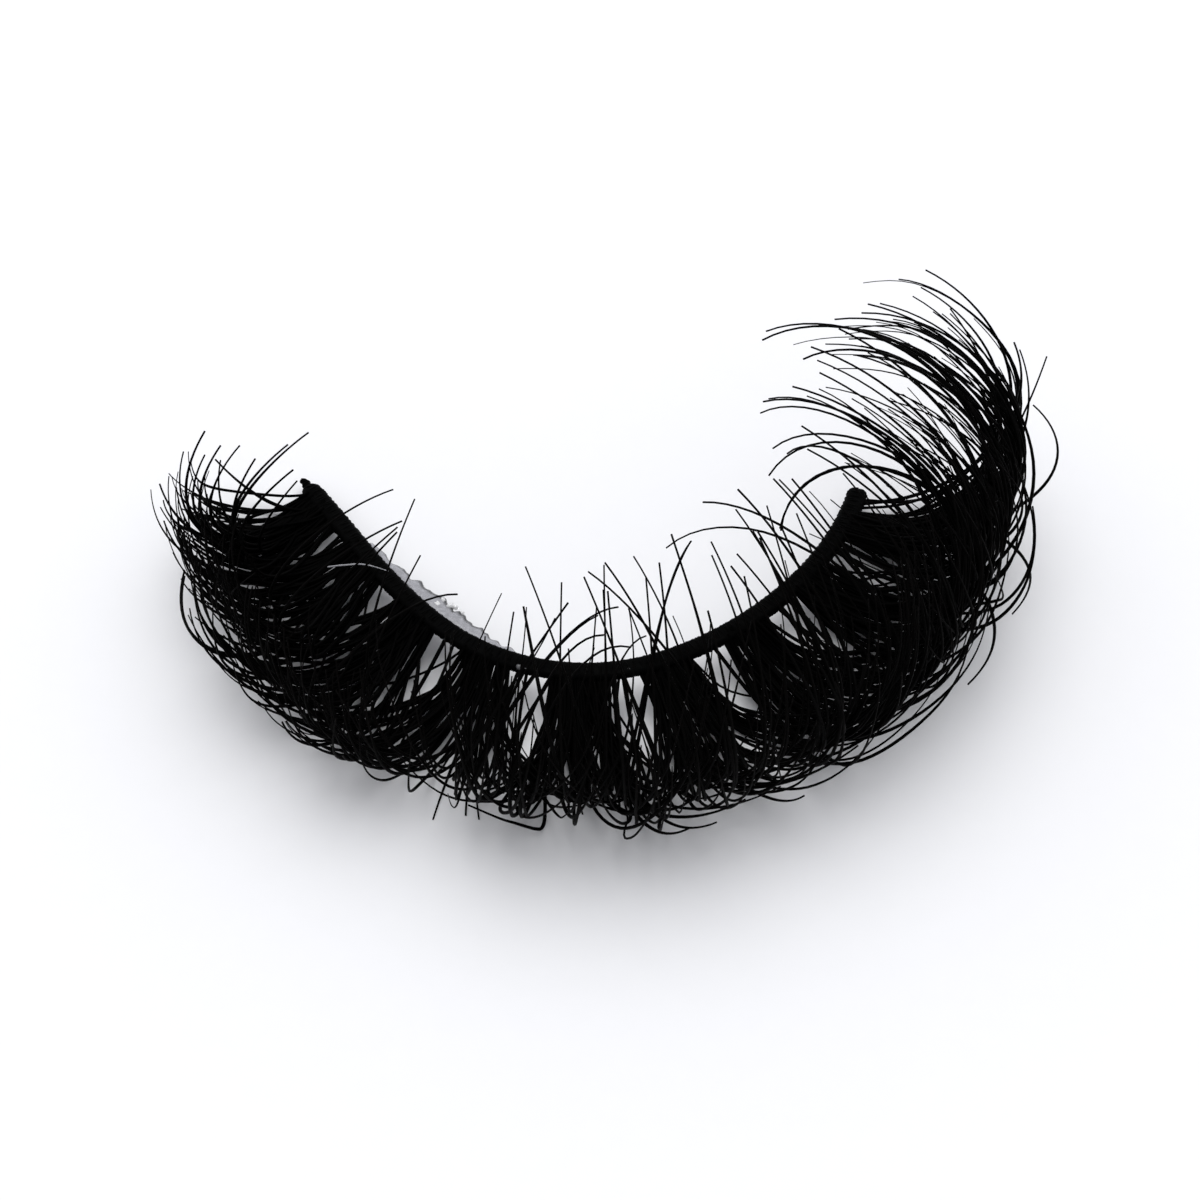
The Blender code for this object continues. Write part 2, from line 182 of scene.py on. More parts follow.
# Single hairs that stand away from the tufts: place on the band, angles in degrees, shares of the
# named sizes, and sway in millimetres
StrayRow = namedtuple("StrayRow", "share lean_deg dip_deg roll_deg length belly tip straight sway")
STRAY_ROWS = (
    (0.496, 19.9, 26.1, -0.9, 0.95, 0.96, 0.92, 1.22, -2.61),
    (0.488, 4.4, 27.6, -2.1, 0.94, 0.99, 0.97, 1.32, 0.12),
    (0.413, -8.5, 25.6, 9.0, 0.91, 0.97, 0.89, 1.27, 2.52),
    (0.425, -6.6, 27.6, 1.9, 0.95, 0.96, 0.61, 1.3, 4.4),
    (0.43, -9.1, 28.7, 2.0, 0.93, 0.99, 0.62, 1.39, 3.81),
    (0.546, 14.2, 26.4, -6.4, 0.96, 0.98, 0.97, 1.28, -1.43),
    (0.597, 18.7, 25.8, -7.1, 1.0, 0.96, 0.81, 1.27, -3.28),
    (0.513, 2.8, 27.1, -1.6, 0.96, 0.98, 0.98, 1.29, 0.52),
    (0.566, 14.0, 27.2, -1.2, 0.98, 0.98, 0.84, 1.31, -2.25),
    (0.571, 6.9, 27.7, 1.6, 0.98, 0.99, 0.83, 1.35, -1.53),
    (0.55, -2.7, 27.5, -2.7, 0.95, 1.0, 0.99, 1.34, 0.73),
    (0.547, 0.3, 26.9, 0.9, 0.96, 0.99, 0.99, 1.3, 0.57),
    (0.529, -6.8, 27.2, -3.3, 1.0, 0.96, 0.76, 1.27, 3.86),
    (0.599, 1.2, 26.6, -6.8, 0.98, 0.98, 0.98, 1.29, 0.5),
    (0.465, -0.2, 32.4, -10.3, 0.93, 1.02, 0.49, 1.52, 4.35),
    (0.464, -1.6, 32.1, -9.7, 0.94, 1.03, 0.52, 1.52, 3.43),
    (0.408, 16.3, 27.2, 9.6, 0.85, 1.0, 0.91, 1.33, -0.56),
    (0.457, 23.9, 27.0, 2.4, 0.87, 0.99, 0.94, 1.3, -1.7),
    (0.535, -0.2, 28.0, -5.0, 0.94, 1.0, 0.99, 1.36, 0.34),
    (0.497, -1.9, 32.0, -4.8, 0.94, 1.05, 0.52, 1.56, 3.25),
    (0.567, 9.7, 28.0, -6.5, 0.93, 1.01, 0.98, 1.39, -0.94),
    (0.604, -1.1, 28.8, -6.0, 0.91, 1.03, 1.01, 1.43, 0.47),
    (0.63, 1.5, 26.5, -4.4, 0.97, 0.99, 0.97, 1.32, 0.03),
    (0.62, 1.5, 27.1, -3.9, 0.96, 1.0, 0.98, 1.35, 0.11),
    (0.663, 10.2, 27.3, -7.2, 0.96, 1.02, 0.94, 1.41, -0.97),
    (0.683, 10.9, 26.7, -8.5, 0.97, 1.01, 0.93, 1.4, -1.06),
    (0.634, -7.9, 27.6, -6.1, 0.92, 1.01, 1.02, 1.38, 1.25),
    (0.681, -3.1, 26.9, -9.3, 0.96, 1.0, 1.0, 1.37, 0.86),
    (0.679, 1.6, 26.3, -7.3, 0.97, 1.0, 0.98, 1.35, 0.25),
    (0.697, 0.9, 26.4, -9.7, 0.97, 1.0, 0.98, 1.37, 0.21),
    (0.705, -0.3, 25.4, -10.9, 1.0, 0.98, 0.96, 1.32, 0.08),
    (0.696, -14.7, 25.8, -10.5, 0.97, 0.98, 1.02, 1.29, 1.88),
    (0.721, -9.1, 26.6, -13.3, 0.95, 1.0, 1.01, 1.38, 1.34),
    (0.71, 3.1, 24.9, -7.1, 1.02, 0.97, 0.93, 1.3, -0.3),
    (0.738, -11.9, 25.4, -13.6, 0.94, 0.99, 1.02, 1.36, 1.69),
    (0.771, -2.2, 22.4, -12.5, 0.99, 0.98, 0.95, 1.34, 0.22),
    (0.784, 0.1, 22.0, -14.7, 0.99, 0.98, 0.96, 1.36, 0.26),
    (0.788, -4.1, 21.8, -15.1, 0.97, 0.98, 0.98, 1.37, 0.73),
    (0.764, 10.0, 22.4, -7.3, 1.06, 0.94, 0.76, 1.29, -2.23),
    (0.735, 12.8, 25.4, 4.4, 1.09, 0.91, 0.7, 1.26, -4.39),
    (0.844, 2.4, 19.0, 11.6, 1.07, 0.96, 0.56, 1.48, -2.08),
    (0.02, 8.0, 14.0, 13.8, 0.59, 0.7, 0.61, 0.74, 0.16),
    (0.025, 9.1, 14.2, 8.6, 0.55, 0.71, 0.6, 0.75, 0.53),
    (0.028, 11.3, 14.5, 12.7, 0.53, 0.72, 0.61, 0.78, 0.75),
    (0.026, 22.3, 14.7, 16.2, 0.49, 0.71, 0.64, 0.75, 0.25),
    (0.038, 13.4, 14.2, 5.3, 0.5, 0.72, 0.67, 0.75, -0.06),
    (0.035, 1.8, 16.9, -2.5, 0.56, 0.81, 0.67, 1.03, -0.45),
    (0.046, 1.6, 17.0, -6.5, 0.51, 0.83, 0.71, 1.03, -0.54),
    (0.038, 1.3, 15.9, -1.0, 0.53, 0.78, 0.65, 0.93, 0.1),
    (0.03, 3.7, 15.3, 2.2, 0.53, 0.75, 0.63, 0.86, 0.26),
    (0.037, 1.0, 16.4, -2.0, 0.51, 0.8, 0.66, 0.97, 0.0),
    (0.038, 11.8, 13.4, -0.1, 0.43, 0.7, 0.73, 0.64, -0.79),
    (0.056, -2.7, 18.3, -10.8, 0.43, 0.9, 0.75, 1.12, -0.99),
    (0.101, 7.6, 20.7, -11.7, 0.48, 0.94, 0.8, 1.29, -1.03),
    (0.11, -3.9, 20.5, -3.5, 0.48, 0.96, 0.78, 1.29, -0.15),
    (0.141, 11.9, 16.6, 12.0, 0.72, 0.81, 0.58, 0.96, 1.18),
    (0.179, 7.7, 18.4, 13.4, 0.74, 0.85, 0.61, 1.05, 1.56),
    (0.184, 16.4, 18.6, 18.8, 0.72, 0.86, 0.74, 1.04, 0.65),
    (0.197, 19.1, 19.5, 19.0, 0.72, 0.87, 0.76, 1.07, 0.29),
    (0.244, 37.1, 21.0, 16.3, 0.77, 0.88, 0.84, 1.02, -1.29),
    (0.265, 26.9, 22.9, 18.3, 0.76, 0.93, 0.83, 1.16, -0.59),
    (0.29, 2.3, 25.4, 7.6, 0.84, 0.96, 0.5, 1.32, 2.21),
    (0.17, 10.0, 28.4, -3.0, 0.67, 1.09, 0.75, 1.8, -0.14),
    (0.193, 16.6, 26.6, -12.0, 0.63, 1.02, 0.79, 1.6, -0.3),
    (0.295, 12.4, 30.8, -0.5, 0.56, 1.11, 0.89, 1.67, -0.06),
    (0.305, 9.5, 29.6, -3.6, 0.53, 1.1, 0.88, 1.54, 0.02),
    (0.299, 13.6, 28.3, 1.8, 0.55, 1.06, 0.91, 1.48, -0.04),
    (0.335, 14.7, 28.0, -7.8, 0.46, 1.07, 0.89, 1.38, -0.48),
    (0.324, 6.8, 29.3, 6.2, 0.49, 1.09, 0.91, 1.48, 0.48),
    (0.52, 4.7, 32.6, 21.4, 0.52, 1.16, 1.02, 1.54, 1.11),
    (0.574, 18.3, 34.9, 12.2, 0.53, 1.22, 1.02, 1.74, 0.34),
    (0.513, 4.4, 33.0, 18.0, 0.53, 1.16, 1.03, 1.57, 0.81),
    (0.599, -16.8, 25.6, 23.0, 0.61, 1.01, 1.2, 1.31, 3.08),
    (0.526, -8.0, 29.6, 28.2, 0.57, 1.04, 1.11, 1.23, 1.9),
    (0.545, -15.3, 27.9, 29.5, 0.59, 0.99, 1.16, 1.14, 2.43),
    (0.981, 16.7, 8.1, 20.4, 0.78, 0.94, 0.96, 1.28, -0.59),
    (0.964, 27.4, 8.6, 13.5, 0.76, 0.93, 1.0, 1.19, -0.44),
    (0.927, -5.0, 7.4, 12.5, 0.8, 0.91, 1.11, 1.2, 1.6),
    (0.967, -39.6, 1.3, 15.8, 0.59, 0.81, 1.25, 0.51, 5.3),
    (0.971, 32.4, 11.7, 10.3, 0.59, 1.03, 1.05, 1.42, 0.0),
    (0.957, 21.2, 13.2, 14.4, 0.62, 1.02, 1.07, 1.35, 0.37),
    (0.925, 27.7, 18.0, 8.0, 0.76, 1.12, 0.97, 1.78, -2.18),
    (0.935, 0.6, 6.3, 7.9, 1.04, 0.88, 0.82, 1.2, 0.6),
    (0.941, 4.6, 6.8, 8.3, 1.05, 0.89, 0.8, 1.22, 0.28),
    (0.932, 0.3, 9.4, 6.8, 1.02, 0.95, 0.71, 1.37, 1.0),
    (0.9, -2.9, 10.8, -1.7, 0.99, 0.92, 0.94, 1.28, 0.58),
    (0.886, 1.2, 13.0, -3.1, 1.0, 0.94, 0.95, 1.32, 0.43),
    (0.89, -2.4, 12.7, -6.1, 0.98, 0.94, 0.95, 1.34, 0.53),
    (0.886, 1.0, 13.4, -6.2, 1.01, 0.94, 0.87, 1.35, 0.05),
    (0.871, -2.9, 13.4, -2.2, 1.05, 0.93, 0.76, 1.29, 0.47),
    (0.864, 0.8, 14.1, 1.1, 1.05, 0.92, 0.78, 1.3, -0.4),
    (0.854, 0.2, 14.4, 1.7, 1.06, 0.92, 0.74, 1.26, -0.02),
    (0.857, 8.0, 17.3, 2.3, 1.05, 0.95, 0.68, 1.39, -1.06),
    (0.823, 0.8, 18.1, 14.6, 1.06, 0.94, 0.63, 1.37, -1.03),
    (0.821, -6.0, 17.8, 2.8, 1.03, 0.96, 0.64, 1.34, 0.87),
    (0.823, 5.9, 19.8, -7.6, 0.99, 0.99, 0.88, 1.41, -0.53),
    (0.819, 2.9, 18.9, -6.7, 1.0, 0.96, 0.93, 1.34, 0.04),
    (0.802, -1.4, 21.5, -10.8, 0.94, 1.0, 1.0, 1.41, 0.79),
    (0.932, 7.7, 11.7, 8.9, 0.97, 0.98, 0.93, 1.43, 0.21),
    (0.937, 4.7, 10.7, 13.4, 0.93, 0.97, 0.88, 1.43, 0.14),
    (0.94, 4.6, 11.1, 15.0, 0.96, 0.99, 0.8, 1.47, 0.13),
    (0.934, 7.1, 11.5, 12.5, 1.0, 0.98, 0.81, 1.44, 0.12),
    (0.903, -1.0, 10.8, -0.4, 0.98, 0.93, 1.01, 1.28, 0.96),
    (0.899, 1.5, 13.4, 6.8, 0.95, 0.97, 0.83, 1.43, 0.12),
    (0.921, -11.6, 15.6, -1.9, 0.68, 1.07, 1.01, 1.79, 0.37),
    (0.895, -18.1, 19.8, 4.9, 0.75, 1.14, 1.03, 2.06, 0.79),
    (0.897, -8.9, 19.8, 1.3, 0.81, 1.12, 1.02, 1.92, 0.67),
    (0.906, 26.6, 11.4, -44.0, 0.66, 0.97, 1.14, 1.4, -3.85),
    (0.934, 35.5, 9.1, -36.9, 0.69, 0.96, 1.11, 1.37, -4.12),
    (0.388, 0.9, 30.2, 2.3, 0.38, 3.2, 3.2, 5.0, 0.75),
    (0.389, 5.0, 30.5, 0.9, 0.35, 3.2, 3.2, 5.02, 1.25),
    (0.392, 2.6, 30.3, 5.9, 0.35, 3.2, 3.2, 5.01, 1.92),
    (0.434, 0.6, 30.9, 2.6, 0.3, 3.2, 3.2, 5.01, 1.08),
    (0.482, 3.1, 31.1, 0.0, 0.31, 3.2, 3.2, 5.01, 0.77),
    (0.465, 2.0, 31.3, 1.4, 0.28, 3.2, 3.2, 5.01, 0.9),
    (0.306, -0.1, 30.5, 9.3, 0.32, 3.2, 3.2, 5.02, 2.34),
    (0.537, -4.4, 30.8, 1.3, 0.33, 3.2, 3.2, 5.01, 0.32),
    (0.625, -7.1, 26.4, -10.7, 0.99, 0.98, 0.98, 1.29, 0.61),
    (0.532, -5.4, 27.3, -3.7, 1.01, 0.96, 0.72, 1.26, 3.8),
    (0.045, -15.4, 15.5, 5.2, 0.18, 0.81, 0.67, 0.87, -3.33),
    (0.153, 15.6, 28.8, -5.8, 0.67, 1.08, 0.69, 1.87, 0.06),
    (0.48, 15.6, 27.0, -3.4, 0.9, 0.99, 0.98, 1.3, -1.27),
    (0.843, 2.2, 19.3, 13.6, 1.06, 0.96, 0.56, 1.5, -2.35),
)

# One sharply bent hair at the outer edge, in millimetres
BENT_HAIR_SIZE = 1.15
BENT_HAIR = (
    (-2.38, -4.32, 1.60),
    (-2.42, -5.53, 0.90),
    (-2.42, -6.62, 0.25),
    (-2.50, -7.26, 0.20),
    (-2.77, -7.43, 0.25),
    (-3.60, -7.32, 0.50),
    (-4.23, -7.22, 0.70),
    (-5.45, -6.80, 1.00),
)

# Width of the glue film along the band, as a share of its greatest width
FilmRow = namedtuple("FilmRow", "share width")
FILM_ROWS = (
    FilmRow(0.135, 0.34),
    FilmRow(0.180, 0.60),
    FilmRow(0.225, 0.80),
    FilmRow(0.265, 1.00),
    FilmRow(0.310, 1.00),
    FilmRow(0.345, 0.88),
    FilmRow(0.370, 0.60),
    FilmRow(0.400, 0.42),
    FilmRow(0.435, 0.22),
)

# Section of the film: how it thins, dips and slopes away from the band, and where its dark rim starts
FILM_SEED = 11
FILM_STATIONS = 150
FILM_SIDES = 10
FILM_WINDOW = 9
FILM_ROUGHNESS = 0.30
FILM_THINNING = 0.55
FILM_UNDERLAP = 0.06 * MM
FILM_DROP = 0.08 * MM
FILM_SLOPE = 0.10 * MM
FILM_RIM = 0.9
# Tone -1 paints the film's lumps white: painted highlights standing for glints
PAINTED_GLINT_TONE = -1.0
SPECK_TONE = 0.9

# A thin thread of glue over the hair, in millimetres
FIBRE_RADIUS = 0.035 * MM
GLUE_FIBRE = (
    (-11.21, 3.05, 3.60),
    (-10.52, 2.99, 3.80),
    (-9.72, 3.17, 3.60),
    (-8.83, 3.83, 2.30),
)

# Lumps in the film painted white as painted glints, and small specks of glue on the band, in millimetres
BeadRow = namedtuple("BeadRow", "x y z size")
FILM_PAINTED_GLINTS = (
    BeadRow(-6.86, 2.76, 1.42, 0.34),
    BeadRow(-6.62, 3.00, 1.40, 0.26),
    BeadRow(-6.33, 2.72, 1.40, 0.34),
    BeadRow(-6.10, 2.66, 1.40, 0.24),
    BeadRow(-5.99, 1.95, 1.42, 0.24),
    BeadRow(-5.84, 2.40, 1.36, 0.22),
    BeadRow(-7.60, 3.75, 1.30, 0.18),
)
BAND_SPECKS = (
    BeadRow(-3.49, -0.64, 1.80, 0.30),
    BeadRow(-3.22, -0.72, 1.80, 0.20),
    BeadRow(0.88, -0.79, 1.80, 0.28),
    BeadRow(-4.37, -0.25, 1.76, 0.18),
    BeadRow(2.69, 0.0, 1.76, 0.18),
    BeadRow(4.15, 0.63, 1.70, 0.34),
    BeadRow(7.40, 3.29, 1.44, 0.20),
    BeadRow(-6.49, 0.92, 1.62, 0.22),
)

# Table, light and camera
TABLE_HALF = 1.5
SKY_STRENGTH = 0.80
LIGHT_PLACE = Vector((0.01, 0.11, 0.45))
LIGHT_SIZE = 0.50
LIGHT_POWER = 1.25
SENSOR_WIDTH = 36.0
VIEW_TARGET = Vector((-0.24, 0.0, 3.0)) * MM
VIEW_RAISE = 1.464 * MM


class BandSizes(bpy.types.PropertyGroup):
    """Sizes and colour of the thread band."""

    width: bpy.props.FloatProperty(
        name="Width", description="Width of the band seen from above", default=BAND_WIDTH,
        unit="LENGTH", precision=5)
    thickness: bpy.props.FloatProperty(
        name="Thickness", description="Height of the band", default=BAND_THICKNESS,
        unit="LENGTH", precision=5)
    thread: bpy.props.FloatProperty(
        name="Thread", description="Radius of one binding thread", default=0.045 * MM,
        unit="LENGTH", precision=6)
    colour: bpy.props.FloatVectorProperty(
        name="Colour", description="Colour of the thread", subtype="COLOR", size=3,
        default=(0.0003, 0.0003, 0.0003))


class HairSizes(bpy.types.PropertyGroup):
    """Sizes and colours of the hair tufts."""

    per_tuft: bpy.props.IntProperty(
        name="Hairs per Tuft", description="Number of hairs tied at one knot", default=65, min=10)
    radius: bpy.props.FloatProperty(
        name="Radius", description="Radius of a hair below its taper", default=0.066 * MM,
        unit="LENGTH", precision=6)
    fan: bpy.props.FloatProperty(
        name="Fan", description="Sideways lean of a tuft's outermost hairs", default=math.radians(29.0),
        subtype="ANGLE")
    colour: bpy.props.FloatVectorProperty(
        name="Colour", description="Colour of the darkest hairs", subtype="COLOR", size=3,
        default=(0.0003, 0.0003, 0.0003))
    tip_colour: bpy.props.FloatVectorProperty(
        name="Tip Colour", description="Colour of the lightest hair tips", subtype="COLOR", size=3,
        default=(0.0024, 0.0021, 0.0020))
    seed: bpy.props.IntProperty(name="Seed", description="Changes how single hairs fall", default=3)


class FilmSizes(bpy.types.PropertyGroup):
    """Sizes and colour of the dried glue film."""

    width: bpy.props.FloatProperty(
        name="Width", description="Greatest width of the film", default=0.70 * MM,
        unit="LENGTH", precision=5)
    thickness: bpy.props.FloatProperty(
        name="Thickness", description="Thickness of the film", default=0.20 * MM,
        unit="LENGTH", precision=5)
    colour: bpy.props.FloatVectorProperty(
        name="Colour", description="Tint of the film", subtype="COLOR", size=3,
        default=(0.44, 0.44, 0.47))


class StageSizes(bpy.types.PropertyGroup):
    """Table, light and camera."""

    floor_colour: bpy.props.FloatVectorProperty(
        name="Table Colour", description="Colour of the table", subtype="COLOR", size=3,
        default=(0.86, 0.86, 0.87))
    camera_elevation: bpy.props.FloatProperty(
        name="Camera Elevation", description="Angle of the camera above the table",
        default=math.radians(53.0), subtype="ANGLE")
    camera_distance: bpy.props.FloatProperty(
        name="Camera Distance", description="From the camera to the strip", default=200.0 * MM,
        unit="LENGTH")
    frame_width: bpy.props.FloatProperty(
        name="View Width", description="Width of the view at the strip", default=48.0 * MM,
        unit="LENGTH")


def smoothed_column(rows, column):
    """Values of one table column on an even grid, with the corners between rows rounded."""
    grid = np.linspace(0.0, 1.0, SMOOTHING_SAMPLES)
    values = np.interp(grid, [row.share for row in rows], [getattr(row, column) for row in rows])
    half = SMOOTHING_WINDOW // 2
    before = 2.0 * values[0] - values[half:0:-1]
    after = 2.0 * values[-1] - values[-2:-half - 2:-1]
    window = np.hanning(SMOOTHING_WINDOW)
    return np.convolve(np.concatenate([before, values, after]), window / window.sum(), "valid")


GRID = np.linspace(0.0, 1.0, SMOOTHING_SAMPLES)
HAIR_CURVES = {name: smoothed_column(HAIR_ROWS, name) for name in HairRow._fields[1:]}


def hair_values(name, shares):
    return np.interp(shares, GRID, HAIR_CURVES[name])


def band_line():
    """Inner edge of the band at mid thickness with its heading, on an even grid of shares."""
    heading = np.radians(smoothed_column(BAND_ROWS, "heading_deg"))
    step = BAND_LENGTH / (SMOOTHING_SAMPLES - 1)
    middle = 0.5 * (heading[1:] + heading[:-1])
    along_x = np.concatenate([[0.0], np.cumsum(np.cos(middle) * step)])
    along_y = np.concatenate([[0.0], np.cumsum(np.sin(middle) * step)])
    off_middle = np.maximum(np.abs(2.0 * GRID - 1.0) - BAND_LEVEL_SHARE, 0.0) / (1.0 - BAND_LEVEL_SHARE)
    height = BAND_END_LIFT + BAND_ARCH * (1.0 - off_middle ** 2)
    points = np.stack([along_x, along_y, height], axis=1) - np.array(STRIP_CENTRE)
    return points, heading


BAND_POINTS, BAND_HEADINGS = band_line()


def band_frames(shares):
    """Points on the band's inner edge with the directions along, outward and upward there."""
    shares = np.asarray(shares, float)
    inside = np.clip(shares, 0.0, 1.0)
    points = np.stack([np.interp(inside, GRID, BAND_POINTS[:, axis]) for axis in range(3)], axis=-1)
    heading = np.interp(inside, GRID, BAND_HEADINGS)
    zero = np.zeros_like(heading)
    along = np.stack([np.cos(heading), np.sin(heading), zero], axis=-1)
    outward = np.stack([np.sin(heading), -np.cos(heading), zero], axis=-1)
    upward = np.stack([zero, zero, zero + 1.0], axis=-1)
    points = points + along * ((shares - inside) * BAND_LENGTH)[:, None]
    return points, along, outward, upward


class Number:
    """A value in a geometry tree: its sums, products and quotients become Math nodes."""

    def __init__(self, maker, socket):
        self.maker = maker
        self.socket = socket

    def __add__(self, other):
        return self.maker.math("ADD", self, other)

    def __sub__(self, other):
        return self.maker.math("SUBTRACT", self, other)

    def __rsub__(self, other):
        return self.maker.math("SUBTRACT", other, self)

    def __mul__(self, other):
        return self.maker.math("MULTIPLY", self, other)

    def __truediv__(self, other):
        return self.maker.math("DIVIDE", self, other)


class NodeMaker:
    """Adds nodes to one tree and joins them."""

    def __init__(self, tree):
        self.tree = tree

    def feed(self, socket, value):
        if isinstance(value, Number):
            value = value.socket
        if isinstance(value, bpy.types.NodeSocket):
            self.tree.links.new(value, socket)
        else:
            socket.default_value = value

    def add(self, kind, inputs=None, **settings):
        node = self.tree.nodes.new(kind)
        for key, value in settings.items():
            setattr(node, key, value)
        for key, value in (inputs or {}).items():
            self.feed(node.inputs[key], value)
        return node


class TreeMaker(NodeMaker):
    """Builds one geometry tree from its named inputs to its material."""

    def __init__(self, name, sockets):
        super().__init__(bpy.data.node_groups.new(name, "GeometryNodeTree"))
        face = self.tree.interface
        face.new_socket("Geometry", in_out="INPUT", socket_type="NodeSocketGeometry")
        face.new_socket("Geometry", in_out="OUTPUT", socket_type="NodeSocketGeometry")
        for label, kind, value in sockets:
            item = face.new_socket(label, in_out="INPUT", socket_type="NodeSocket" + kind)
            if value is not None:
                item.default_value = value
        self.source = self.tree.nodes.new("NodeGroupInput").outputs
        self.sink = self.tree.nodes.new("NodeGroupOutput").inputs

    def math(self, operation, *values):
        node = self.add("ShaderNodeMath", dict(enumerate(values)), operation=operation)
        return Number(self, node.outputs[0])

    def given(self, label):
        return Number(self, self.source[label])

    def along_line(self):
        return Number(self, self.add("GeometryNodeSplineParameter").outputs["Factor"])

    def vector(self, operation, *values):
        return self.add("ShaderNodeVectorMath", dict(enumerate(values)), operation=operation).outputs[0]

    def scaled(self, vector, amount):
        node = self.add("ShaderNodeVectorMath", {0: vector, "Scale": amount}, operation="SCALE")
        return node.outputs[0]

    def ring(self, sides):
        """Round section of radius 1, which the sweep scales."""
        inputs = {"Resolution": sides, "Radius": 1.0}
        return self.add("GeometryNodeCurvePrimitiveCircle", inputs, mode="RADIUS").outputs[0]

    def swept(self, line, section, scale):
        inputs = {"Curve": line, "Profile Curve": section, "Scale": scale, "Fill Caps": True}
        return self.add("GeometryNodeCurveToMesh", inputs).outputs[0]

    def resampled(self, line, count):
        inputs = {"Curve": line, "Count": count}
        return self.add("GeometryNodeResampleCurve", inputs, mode="COUNT").outputs[0]

    def drawn(self):
        """The curve along the edges of the incoming mesh."""
        return self.add("GeometryNodeMeshToCurve", {"Mesh": self.source["Geometry"]}).outputs[0]

    def named(self, name):
        node = self.add("GeometryNodeInputNamedAttribute", {"Name": name}, data_type="FLOAT")
        return Number(self, node.outputs["Attribute"])

    def named_vector(self, name):
        node = self.add("GeometryNodeInputNamedAttribute", {"Name": name}, data_type="FLOAT_VECTOR")
        return node.outputs["Attribute"]

    def keep(self, geometry, name, value):
        inputs = {"Geometry": geometry, "Name": name, "Value": value}
        node = self.add("GeometryNodeStoreNamedAttribute", inputs, data_type="FLOAT", domain="POINT")
        return node.outputs[0]

    def finish(self, geometry):
        """Realizes what is left of instances, sets the material and joins the output."""
        real = self.add("GeometryNodeRealizeInstances", {"Geometry": geometry}).outputs[0]
        smooth = self.add("GeometryNodeSetShadeSmooth", {"Geometry": real}).outputs[0]
        inputs = {"Geometry": smooth, "Material": self.source["Material"]}
        painted = self.add("GeometryNodeSetMaterial", inputs).outputs[0]
        self.feed(self.sink["Geometry"], painted)
        return self.tree


def hair_tree():
    """Grows one curled, tapering hair from each point: a straight root, a tight belly, an easier tip."""
    maker = TreeMaker("curled_hair", (
        ("Steps", "Int", 36),
        ("Sides", "Int", 5),
        ("Belly Turn", "Float", BELLY_TURN),
        ("Taper Start", "Float", 0.55),
        ("Table Height", "Float", 0.0),
        ("Waver", "Float", 0.0),
        ("Material", "Material", None),
    ))
    source = maker.source
    line = maker.add("GeometryNodeCurvePrimitiveLine", {"Start": (0, 0, 0), "End": (0, 0, MM)}).outputs[0]
    line = maker.resampled(line, source["Steps"])
    inputs = {"Points": source["Geometry"], "Instance": line}
    placed = maker.add("GeometryNodeInstanceOnPoints", inputs).outputs[0]
    hairs = maker.add("GeometryNodeRealizeInstances", {"Geometry": placed}).outputs[0]
    hairs = maker.keep(hairs, "hair_share", maker.along_line())
    share = maker.named("hair_share")
    straight = maker.named("hair_straight")
    belly = maker.named("hair_belly")
    tip = maker.named("hair_tip")
    turn = maker.given("Belly Turn")

    travelled = share * maker.named("hair_length")
    arc = maker.math("MAXIMUM", travelled - straight, 0.0)
    belly_arc = belly * turn
    first = maker.math("MINIMUM", arc, belly_arc) / belly
    second = turn + maker.math("MAXIMUM", arc - belly_arc, 0.0) / tip
    turned_back = tip * (maker.math("SINE", turn) - maker.math("SINE", second))
    out = belly * maker.math("SINE", first) + maker.math("MINIMUM", travelled, straight)
    reach = out - turned_back
    rise = belly * (1.0 - maker.math("COSINE", first))
    rise = tip * (maker.math("COSINE", turn) - maker.math("COSINE", second)) + rise

    fanned = maker.math("SMOOTH_MAX", out - maker.named("hair_fan_start"), 0.0, FAN_SMOOTHING)
    sideways = maker.named("hair_fan") * fanned + maker.named("hair_spread") * turned_back
    sway = maker.named("hair_sway") * maker.math("POWER", share, 2.0)
    wave = maker.named("hair_wave") * maker.math("SINE", share * WAVE_ANGLE)
    sideways = sideways + (sway + wave)

    place = maker.named_vector("hair_root")
    for way, amount in (("hair_forward", reach), ("hair_curl_way", rise), ("hair_side", sideways)):
        place = maker.vector("ADD", place, maker.scaled(maker.named_vector(way), amount))
    inputs = {"Vector": place, "Scale": WAVER_SCALE, "Detail": 0.0}
    noise = maker.add("ShaderNodeTexNoise", inputs, noise_dimensions="3D")
    waver = maker.vector("SUBTRACT", noise.outputs["Color"], (0.5, 0.5, 0.5))
    freedom = maker.given("Waver") * maker.named("hair_waver")
    waver = maker.scaled(waver, freedom * maker.math("POWER", share, WAVER_POWER))
    place = maker.vector("ADD", place, waver)
    parts = maker.add("ShaderNodeSeparateXYZ", {"Vector": place}).outputs
    above = maker.math("SMOOTH_MAX", parts["Z"], source["Table Height"], TABLE_SMOOTHING)
    place = maker.add("ShaderNodeCombineXYZ", {"X": parts["X"], "Y": parts["Y"], "Z": above}).outputs[0]
    hairs = maker.add("GeometryNodeSetPosition", {"Geometry": hairs, "Position": place}).outputs[0]
    inputs = {"Value": share, "From Min": source["Taper Start"], "From Max": 1.0,
              "To Min": 1.0, "To Max": maker.named("hair_end")}
    taper = maker.add("ShaderNodeMapRange", inputs, interpolation_type="SMOOTHSTEP").outputs[0]
    radius = maker.named("hair_radius") * taper
    return maker.finish(maker.swept(hairs, maker.ring(source["Sides"]), radius))


